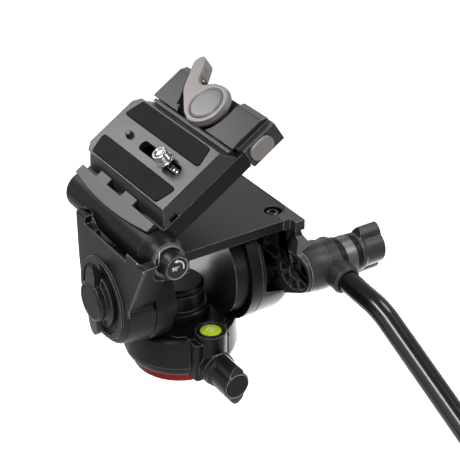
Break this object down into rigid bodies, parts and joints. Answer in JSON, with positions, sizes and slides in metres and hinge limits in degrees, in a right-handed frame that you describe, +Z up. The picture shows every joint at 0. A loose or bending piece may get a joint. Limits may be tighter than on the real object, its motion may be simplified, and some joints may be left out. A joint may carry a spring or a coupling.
{
  "type": "fluid head",
  "caption": "Tripod video head: panning base, tilting frame, flip-up platform with sliding dovetail camera plate and lever clamp, lock knobs and a bent pan bar.",
  "frame": {"origin": "centre of the underside of the base disc, on the pan axis, where the tripod screw enters", "axes": "+Z up along the pan axis, +Y towards the lens side, +X towards the pan bar at the operator's right; rest pose with the flip platform raised 33 degrees as in the picture"},
  "size_m": [0.1795, 0.4307, 0.2499],
  "materials": {
    "cast_black": "satin black powder coat",
    "satin_black": "satin black moulding",
    "soft_black": "matt black moulding",
    "gloss_black": "gloss black tube",
    "plate_grey": "grey anodised, fine matt",
    "jaw_grey": "grey coat",
    "clamp_grey": "dark grey coat",
    "lever_grey": "warm light grey coat",
    "cap_grey": "light grey disc",
    "pad_rubber": "fine grained",
    "grip_rubber": "ribbed",
    "polished_steel": "polished",
    "brushed_metal": "brushed round the axis",
    "red_anodised": "red anodised",
    "bubble_ring": "white ring",
    "bubble_green": "clear yellow green"
  },
  "bodies": {
    "base": {"base_disc": "red_anodised", "thread_insert": "brushed_metal", "pan_spindle": "polished_steel", "pan_washer": "soft_black"},
    "pan_body": {"pan_housing": "cast_black", "left_drum": "cast_black", "right_drum": "cast_black", "left_tilt_bush": "brushed_metal", "right_tilt_bush": "brushed_metal", "pan_cap": "soft_black", "bubble_level": "bubble_ring", "bubble_window": "bubble_green"},
    "pan_lock": {"pan_knob": "satin_black", "pan_knob_cap": "soft_black"},
    "tilt_frame": {"left_side_plate": "cast_black", "top_plate": "cast_black", "bracket_screw": "polished_steel", "right_bracket": "cast_black", "drum_flange": "satin_black", "drum_cover": "cast_black", "left_tilt_shaft": "polished_steel", "right_tilt_shaft": "polished_steel", "hinge_shaft": "polished_steel", "hinge_cap": "satin_black", "clamp_bolt": "polished_steel"},
    "tilt_lock": {"tilt_knob": "satin_black", "tilt_knob_cap": "soft_black"},
    "flip_lock": {"flip_button": "satin_black"},
    "flip_platform": {"platform": "cast_black", "fixed_jaw": "jaw_grey", "clamp_housing": "clamp_grey", "lever_pivot": "polished_steel"},
    "lever": {"clamp_lever": "lever_grey", "lever_cap": "cap_grey"},
    "jaw_bar": {"clamp_bar": "clamp_grey"},
    "safety_catch": {"safety_button": "lever_grey"},
    "quick_plate": {"camera_plate": "plate_grey", "plate_pad_left": "pad_rubber", "plate_pad_right": "pad_rubber"},
    "screw_carriage": {"screw_slider": "polished_steel"},
    "mounting_screw": {"camera_screw": "polished_steel"},
    "guide_pin": {"video_pin": "soft_black"},
    "pan_bar": {"bar_clamp": "cast_black", "clamp_collar": "soft_black", "clamp_ring": "brushed_metal", "knob_collar": "soft_black", "pan_bar_tube": "gloss_black", "bar_grip": "grip_rubber", "bar_end_cap": "satin_black"},
    "bar_lock": {"bar_knob": "satin_black", "bar_knob_cap": "soft_black"}
  },
  "joints": [
    {"name": "pan", "type": "hinge", "parent": "base", "child": "pan_body", "pos_m": [0, 0, 0.03], "axis": [0, 0, 1], "continuous": true},
    {"name": "pan_lock_turn", "type": "hinge", "parent": "pan_body", "child": "pan_lock", "pos_m": [0, -0.0466, 0.0155], "axis": [0, 1, 0], "range_deg": [-120, 120]},
    {"name": "tilt", "type": "hinge", "parent": "pan_body", "child": "tilt_frame", "pos_m": [0, 0, 0.061], "axis": [1, 0, 0], "range_deg": [-75, 45]},
    {"name": "tilt_lock_turn", "type": "hinge", "parent": "tilt_frame", "child": "tilt_lock", "pos_m": [-0.0528, 0, 0.061], "axis": [1, 0, 0], "range_deg": [-120, 120]},
    {"name": "flip_button_press", "type": "slide", "parent": "tilt_frame", "child": "flip_lock", "axis": [0, 1, 0], "range_m": [0, 0.0035], "stiffness_N_per_m": 400},
    {"name": "flip", "type": "hinge", "parent": "tilt_frame", "child": "flip_platform", "pos_m": [-0.0321, 0, 0.1025], "axis": [0, -1, 0], "range_deg": [-33, 57]},
    {"name": "lever_turn", "type": "hinge", "parent": "flip_platform", "child": "lever", "pos_m": [0.03315, 0.0145, 0.1568], "axis": [-0.5446, 0, 0.8387], "range_deg": [-75, 0]},
    {"name": "jaw_slide", "type": "slide", "parent": "flip_platform", "child": "jaw_bar", "axis": [0.8387, 0, 0.5446], "range_m": [0, 0.0019]},
    {"name": "safety_press", "type": "slide", "parent": "flip_platform", "child": "safety_catch", "axis": [0, 1, 0], "range_m": [0, 0.0035], "stiffness_N_per_m": 400},
    {"name": "plate_slide", "type": "slide", "parent": "flip_platform", "child": "quick_plate", "axis": [0, 1, 0], "range_m": [-0.012, 0.012]},
    {"name": "screw_slide", "type": "slide", "parent": "quick_plate", "child": "screw_carriage", "axis": [0, 1, 0], "range_m": [-0.001, 0.024]},
    {"name": "screw_turn", "type": "hinge", "parent": "screw_carriage", "child": "mounting_screw", "pos_m": [-0.00672, -0.007, 0.13687], "axis": [-0.5446, 0, 0.8387], "continuous": true},
    {"name": "pin_press", "type": "slide", "parent": "quick_plate", "child": "guide_pin", "axis": [0.5446, 0, -0.8387], "range_m": [0, 0.0024], "stiffness_N_per_m": 300},
    {"name": "pan_bar_turn", "type": "hinge", "parent": "tilt_frame", "child": "pan_bar", "pos_m": [0.0704, -0.0455, 0.066], "axis": [1, 0, 0], "range_deg": [-90, 60]},
    {"name": "bar_lock_turn", "type": "hinge", "parent": "pan_bar", "child": "bar_lock", "pos_m": [0.0993, -0.0455, 0.066], "axis": [1, 0, 0], "range_deg": [-120, 120]}
  ],
  "couplings": [
    {"joint": "jaw_slide", "follows": "lever_turn", "m_per_rad": -0.001375}
  ]
}
